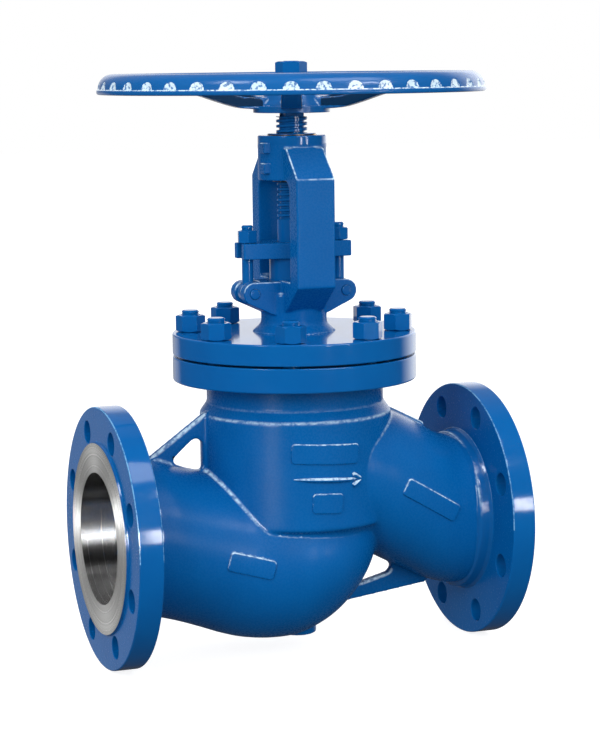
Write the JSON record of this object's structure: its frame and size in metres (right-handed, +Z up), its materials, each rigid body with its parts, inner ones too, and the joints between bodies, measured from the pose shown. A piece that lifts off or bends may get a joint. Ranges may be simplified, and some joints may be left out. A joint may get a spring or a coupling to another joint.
{
  "type": "globe valve",
  "caption": "Flanged cast globe valve with bolted bonnet, outside screw and yoke, swing-bolt gland and a rising, scalloped handwheel.",
  "frame": {"origin": "the point where the pipe axis meets the stem axis", "axes": "+X along the pipe towards the outlet, +Z up along the stem towards the handwheel"},
  "size_m": [0.48, 0.444, 0.685],
  "materials": {
    "enamel": "glossy blue enamel over a sand casting",
    "steel": "turned steel",
    "bronze": "turned bronze",
    "graphite": "matt graphite"
  },
  "bodies": {
    "valve": {"valve_body": "enamel", "seat_ring": "steel", "bonnet_gasket": "graphite", "bonnet": "enamel", "backseat_bush": "steel", "packing_washer": "steel", "packing_ring_1": "graphite", "packing_ring_2": "graphite", "packing_ring_3": "graphite", "packing_ring_4": "graphite", "yoke_nut": "bronze", "eye_bolt_left": "enamel", "eye_bolt_right": "enamel", "hinge_pin_left": "enamel", "hinge_pin_right": "enamel", "bonnet_stud_1": "enamel", "bonnet_stud_2": "enamel", "bonnet_stud_3": "enamel", "bonnet_stud_4": "enamel", "bonnet_stud_5": "enamel", "bonnet_stud_6": "enamel", "bonnet_stud_7": "enamel", "bonnet_stud_8": "enamel", "bonnet_nut_1": "enamel", "bonnet_nut_2": "enamel", "bonnet_nut_3": "enamel", "bonnet_nut_4": "enamel", "bonnet_nut_5": "enamel", "bonnet_nut_6": "enamel", "bonnet_nut_7": "enamel", "bonnet_nut_8": "enamel"},
    "plug": {"disc": "steel", "disc_nut": "steel"},
    "spindle": {"stem": "enamel", "handwheel": "enamel", "handwheel_nut": "enamel"},
    "gland": {"gland_follower": "enamel", "gland_flange": "enamel"},
    "left_nut": {"gland_nut_left": "enamel"},
    "right_nut": {"gland_nut_right": "enamel"}
  },
  "joints": [
    {"name": "stem_lift", "type": "slide", "parent": "valve", "child": "plug", "axis": [0, 0, 1], "range_m": [0, 0.0421]},
    {"name": "handwheel_turn", "type": "hinge", "parent": "plug", "child": "spindle", "pos_m": [0, 0, 0.5], "axis": [0, 0, 1], "range_deg": [0, 2520]},
    {"name": "gland_slide", "type": "slide", "parent": "valve", "child": "gland", "axis": [0, 0, -1], "range_m": [0, 0.006], "deforming": ["packing_ring_1", "packing_ring_2", "packing_ring_3", "packing_ring_4"]},
    {"name": "gland_nut_left_turn", "type": "hinge", "parent": "gland", "child": "left_nut", "pos_m": [-0.056, 0, 0.3363], "axis": [0, 0, -1], "range_deg": [0, 1080]},
    {"name": "gland_nut_right_turn", "type": "hinge", "parent": "gland", "child": "right_nut", "pos_m": [0.056, 0, 0.3363], "axis": [0, 0, -1], "range_deg": [0, 1080]}
  ],
  "couplings": [
    {"joint": "stem_lift", "follows": "handwheel_turn", "m_per_rad": 0.00095493},
    {"joint": "gland_nut_left_turn", "follows": "gland_slide", "rad_per_m": 3141.6},
    {"joint": "gland_nut_right_turn", "follows": "gland_slide", "rad_per_m": 3141.6}
  ]
}
